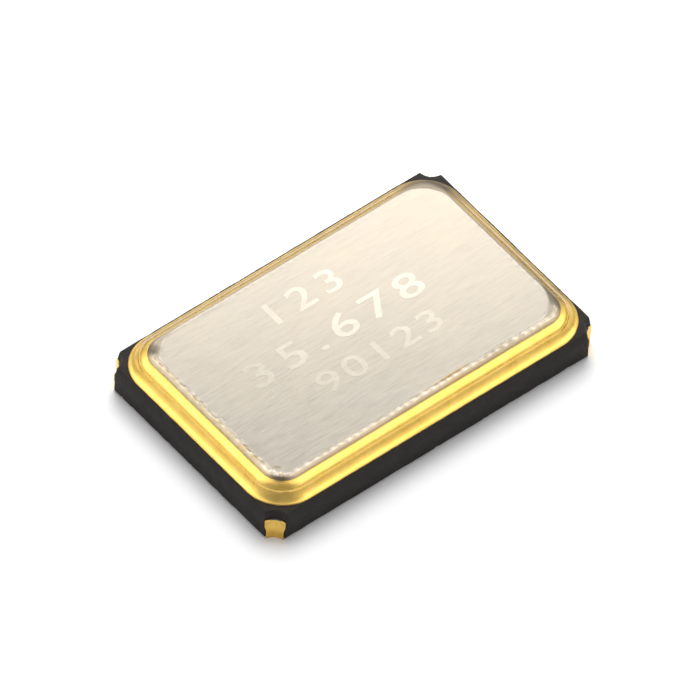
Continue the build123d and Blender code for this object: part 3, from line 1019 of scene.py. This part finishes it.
# %% Plated notch walls
def wall_shell(number):
    """A closed profile of (radius, level) swept through a quarter turn about the package corner.

    It follows the notch as it widens. Its two ends are narrowed nearly to a line.
    """
    sx, sy = corners[number]
    steps, rows_up = 64, 18
    turn = np.linspace(0.012, pi / 2 - 0.012, steps)
    wave = line_noise(turn * notch_radius, 0.05 * mm, 60 + number) * 0.007 * mm
    top = plating_top - 0.007 * mm + wave
    thin = np.sqrt(np.clip(np.minimum(turn, turn[::-1]) / 0.08, 0.02, 1))
    level = np.linspace(0.0, 1.0, rows_up)[:, None] * top
    widen = smooth_step(level, layer_level - 0.04 * mm, layer_level + 0.06 * mm)
    outer = narrow_notch + (wide_notch - narrow_notch) * widen + 0.0005 * mm
    inner = outer - plating
    middle = (inner + outer) / 2
    face, back_face = middle - (middle - inner) * thin, middle + (outer - middle) * thin
    radius = np.concatenate([face, back_face[::-1]])
    both_widen = np.concatenate([widen, widen[::-1]])
    swing = pi / 4 + (turn - pi / 4) * (0.86 + 0.14 * both_widen)
    grid = np.empty((2 * rows_up, steps, 3))
    grid[..., 0] = sx * (cup_x - radius * np.cos(swing))
    grid[..., 1] = sy * (cup_y - radius * np.sin(swing))
    grid[..., 2] = np.concatenate([level, level[::-1]])
    return grid if sx * sy > 0 else grid[:, ::-1]


def open_strip(points):
    """Faces of a grid whose rows close on themselves and whose columns end at two flat ends."""
    rows, columns = points.shape[:2]
    index = np.arange(rows * columns).reshape(rows, columns)
    index = np.concatenate([index, index[:1]])
    quads = np.stack([index[:-1, :-1], index[:-1, 1:], index[1:, 1:], index[1:, :-1]], axis=-1)
    faces = quads.reshape(-1, 4).tolist()
    half = rows // 2
    first, last = index[:rows, 0], index[:rows, -1]
    for k in range(half - 1):
        faces.append([first[k], first[k + 1], first[rows - 2 - k], first[rows - 1 - k]])
        faces.append([last[k + 1], last[k], last[rows - 1 - k], last[rows - 2 - k]])
    return points.reshape(-1, 3), [[int(v) for v in face] for face in faces]


# %% [markdown]
# Pad and wall make one piece. Its two pattern numbers are the place along X, and the place
# along Y plus the level, so that both change on the flat pad and on the upright wall. Their
# scales are equal, which makes the plating cloudy instead of brushed.

# %% Terminals
for number in corners:
    pad_grid, wall_grid = pad_shell(number), wall_shell(number)
    shells = [shell(pad_grid, cap_first=True, cap_last=True), open_strip(wall_grid)]
    every = np.concatenate([points for points, faces in shells])
    clean = np.zeros(len(every))
    build(f"terminal_plating_{number}", shells, terminal_gold, [f"terminal_{number}"], "gold_plating",
          around=every[:, 0], across=every[:, 1] + every[:, 2], warmth=clean, soot=clean)

# %% [markdown]
# ## Plain numerals
# The lid carries three rows of laser marked numerals, which are paler and duller than the
# metal. They are set in Blender's own font, made into a mesh, widened, and laid on the lid's
# surface by its height formula. The figures are plain counting numbers and mean nothing.

# %% Numerals
lift = 0.0012 * mm
rows_of_numerals = (
    # figures, middle along Y, size, middle along X, widening, spacing
    ("123", 0.745, 0.50, -0.20, 1.34, 1.30),
    ("35.678", 0.115, 0.53, -0.20, 1.44, 1.30),
    ("90123", -0.465, 0.46, 0.03, 1.44, 1.16),
)
for row, (figures, row_y, figure_size, shift_x, widening, spacing) in enumerate(rows_of_numerals, start=1):
    text = bpy.data.curves.new(f"numerals_{row}", "FONT")
    text.body = figures
    text.size = 1.0
    text.align_x, text.align_y = "CENTER", "CENTER"
    text.space_character = spacing
    text.offset = 0.008
    holder = new_object("holder", text)
    bpy.context.view_layer.update()
    mesh = bpy.data.meshes.new_from_object(holder.evaluated_get(bpy.context.evaluated_depsgraph_get()))
    bpy.data.objects.remove(holder)
    places = np.empty(len(mesh.vertices) * 3)
    mesh.vertices.foreach_get("co", places)
    places = places.reshape(-1, 3)
    px = (places[:, 0] * figure_size * widening + shift_x) * mm
    py = (places[:, 1] * figure_size + row_y) * mm
    places = np.stack([px, py, lid_level(px, py) + lift], axis=-1)
    mesh.vertices.foreach_set("co", places.ravel())
    mesh.materials.clear()
    mesh.materials.append(laser_mark)
    mesh.update()
    numerals = new_object(f"numerals_row_{row}", mesh)
    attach(numerals, "root")
    print("row", row, "vertices", len(mesh.vertices))

# %% [markdown]
# ## Inner pieces
# The quartz plate, its films, the adhesive, the mounting pads and the buried conductors keep
# their CAD shapes. They are sealed in, and still get the finish that each would have.

# %% Inner finishes
def speckled(name, low, high, cell, metallic, roughness, ior=1.5, depth=0.001 * mm):
    """A finish between two colours, with grain of one size in colour, roughness and bump."""
    material, tree, shader = new_finish(name, metallic=metallic, roughness=roughness, ior=ior)
    grain = object_grain(tree, cell, detail=4)
    feed(tree, shader, "Base Color", mix_colour(tree, remap(tree, grain, 0.3, 0.7), low, high))
    sheen = remap(tree, grain, 0.3, 0.7, roughness * 0.8, roughness * 1.2)
    feed(tree, shader, "Roughness", sheen)
    bump(tree, shader, grain, depth)
    return material


quartz = speckled("quartz", (0.93, 0.96, 0.96), (0.97, 0.985, 0.98), 0.3 * mm, 0.0, 0.06, 1.54, 0.0004 * mm)
quartz.node_tree.nodes["Principled BSDF"].inputs["Transmission Weight"].default_value = 1.0
silver = speckled("silver_film", (0.78, 0.78, 0.76), (0.88, 0.87, 0.85), 0.05 * mm, 1.0, 0.24)
glue = speckled("silver_adhesive", (0.36, 0.35, 0.33), (0.58, 0.57, 0.54), 0.02 * mm, 0.3, 0.55)
tungsten = speckled("fired_tungsten", (0.13, 0.13, 0.135), (0.22, 0.22, 0.225), 0.02 * mm, 0.9, 0.6)
pad_gold = speckled("pad_gold", (0.93, 0.60, 0.145), (1.0, 0.725, 0.215), 0.04 * mm, 1.0, 0.35)
inner_finishes = {
    "quartz_plate": quartz,
    "electrode_top": silver, "electrode_bottom": silver,
    "adhesive_near": glue, "adhesive_far": glue,
    "mount_pad_near": pad_gold, "mount_pad_far": pad_gold,
    "signal_trace_1": tungsten, "signal_trace_3": tungsten,
    "ground_via_2": tungsten, "ground_via_4": tungsten,
}
for node, material in inner_finishes.items():
    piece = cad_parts[node]
    piece.data.materials.clear()
    piece.data.materials.append(material)
print("finished", len(inner_finishes), "inner nodes")

# %% [markdown]
# ## Floor
# A plain white sheet, a hair below the solder pads. To the camera and in reflections it glows
# slightly, so that it reads as white paper out to its edge, while the package's shadow stays
# on it.

# %% Floor sheet
floor_half = 60 * mm
floor_level = -0.0005 * mm
floor_corners = [
    (sx * floor_half, sy * floor_half, floor_level) for sx, sy in ((-1, -1), (1, -1), (1, 1), (-1, 1))
]
floor_mesh = bpy.data.meshes.new("floor")
floor_mesh.from_pydata(floor_corners, [], [[0, 1, 2, 3]])
floor = new_object("floor", floor_mesh)
paper, tree, shader = new_finish("white_paper", roughness=0.9, ior=1.2, colour=(0.96, 0.96, 0.97))
shader.inputs["Emission Color"].default_value = (1, 1, 1, 1)
rays = add(tree, "ShaderNodeLightPath")
seen = combine(tree, "MAXIMUM", rays.outputs["Is Camera Ray"], rays.outputs["Is Transmission Ray"])
seen = combine(tree, "MAXIMUM", seen, rays.outputs["Is Glossy Ray"])
feed(tree, shader, "Emission Strength", remap(tree, seen, 0, 1, 0.0, 0.10))
floor_mesh.materials.append(paper)
print("floor", round(2 * floor_half / mm), "mm wide")

# %% [markdown]
# ## Light
# The package stands in a white tent. Metal shows mostly what it mirrors, so the tent has two
# bright panels, a grey patch that the flat lid mirrors, and a darker side where a camera would
# stand, which gives the gold its shading. Matt surfaces get a softer, dimmer sky instead, and
# the camera sees plain white.

# %% World
world = bpy.data.worlds.new("tent")
bpy.context.scene.world = world
world.use_nodes = True
tree = world.node_tree
tree.nodes.clear()
direction = add(tree, "ShaderNodeTexCoord").outputs["Generated"]


def toward(vector, low, high):
    """How nearly a direction points along a vector: 0 below one cosine and 1 above another."""
    unit = Vector(vector).normalized()
    dot = add(tree, "ShaderNodeVectorMath", {0: direction, 1: tuple(unit)}, operation="DOT_PRODUCT")
    return remap(tree, dot.outputs["Value"], low, high, smooth=True)


bright = (2.60, 2.58, 2.50)
tent = (0.90, 0.90, 0.90)
for vector, low, high, colour in (
    ((-0.30, 0.48, 0.82), 0.85, 0.96, bright),
    ((0.55, -0.25, 0.80), 0.84, 0.95, bright),
    ((0.424, 0.48, 0.768), 0.83, 0.97, (0.43, 0.455, 0.50)),
    ((0.66, 0.72, 0.10), 0.80, 0.93, (0.70, 0.70, 0.70)),
    (tuple(back), 0.55, 0.90, (0.46, 0.46, 0.45)),
):
    tent = mix_colour(tree, toward(vector, low, high), tent, colour)
tent = mix_colour(tree, toward((0, 0, -1), -0.45, -0.15), tent, (0.55, 0.55, 0.55), "MULTIPLY")
sky = mix_colour(tree, toward((0.32, 0.36, 0.87), 0.0, 0.95), (0.05, 0.051, 0.053), (0.58, 0.58, 0.58))
rays = add(tree, "ShaderNodeLightPath")
metal_sees = add(tree, "ShaderNodeBackground", {"Color": tent, "Strength": 1.0})
even_light = add(tree, "ShaderNodeBackground", {"Color": sky, "Strength": 1.0})
white = add(tree, "ShaderNodeBackground", {"Color": (1, 1, 1, 1), "Strength": 1.0})
glossy = combine(tree, "MAXIMUM", rays.outputs["Is Glossy Ray"], rays.outputs["Is Transmission Ray"])
lit = add(tree, "ShaderNodeMixShader", {
    0: glossy, 1: even_light.outputs[0], 2: metal_sees.outputs[0],
})
seen = add(tree, "ShaderNodeMixShader", {
    0: rays.outputs["Is Camera Ray"], 1: lit.outputs[0], 2: white.outputs[0],
})
add(tree, "ShaderNodeOutputWorld", {"Surface": seen.outputs[0]})
print("world has", len(tree.nodes), "nodes")

# %% [markdown]
# Four soft boxes shape the light: one on the left, one on the right, a small card behind the
# part that brightens the upper part of the lid, and a key high up behind it that throws the
# shadow. A box's power is worked out from how bright it should look, so its size can be changed
# freely. The key is kept out of reflections, where it would hide the tent.

# %% Soft boxes
def soft_box(name, direction, distance, width, height, radiance, colour=(1, 1, 1), seen_in_metal=True):
    """A rectangular area lamp aimed at the part: its power is radiance times pi times area."""
    data = bpy.data.lights.new(name, "AREA")
    data.shape = "RECTANGLE"
    data.size = width
    data.size_y = height
    data.energy = radiance * pi * width * height
    data.color = colour
    lamp = new_object(name, data)
    unit = Vector(direction).normalized()
    lamp.location = unit * distance
    lamp.rotation_euler = unit.to_track_quat("Z", "Y").to_euler()
    lamp.visible_camera = False
    lamp.visible_glossy = seen_in_metal
    print(name, "power", round(data.energy, 4), "W")


soft_box("left_box", (-0.77, 0.48, 0.42), 70 * mm, 45 * mm, 45 * mm, 0.60)
soft_box("right_box", (0.42, -0.77, 0.48), 70 * mm, 45 * mm, 45 * mm, 0.30)
soft_box("back_card", (3.6, 5.25, 4.78), 7.97 * mm, 9.6 * mm, 5.5 * mm, 1.46, (1.0, 0.93, 0.83))
soft_box("key_box", (0.28, 0.34, 0.90), 60 * mm, 42 * mm, 42 * mm, 4.9, seen_in_metal=False)

# %% [markdown]
# ## Colour
# The view is set to Standard, so colours render as they are written.

# %% Finish
bpy.context.scene.view_settings.view_transform = "Standard"
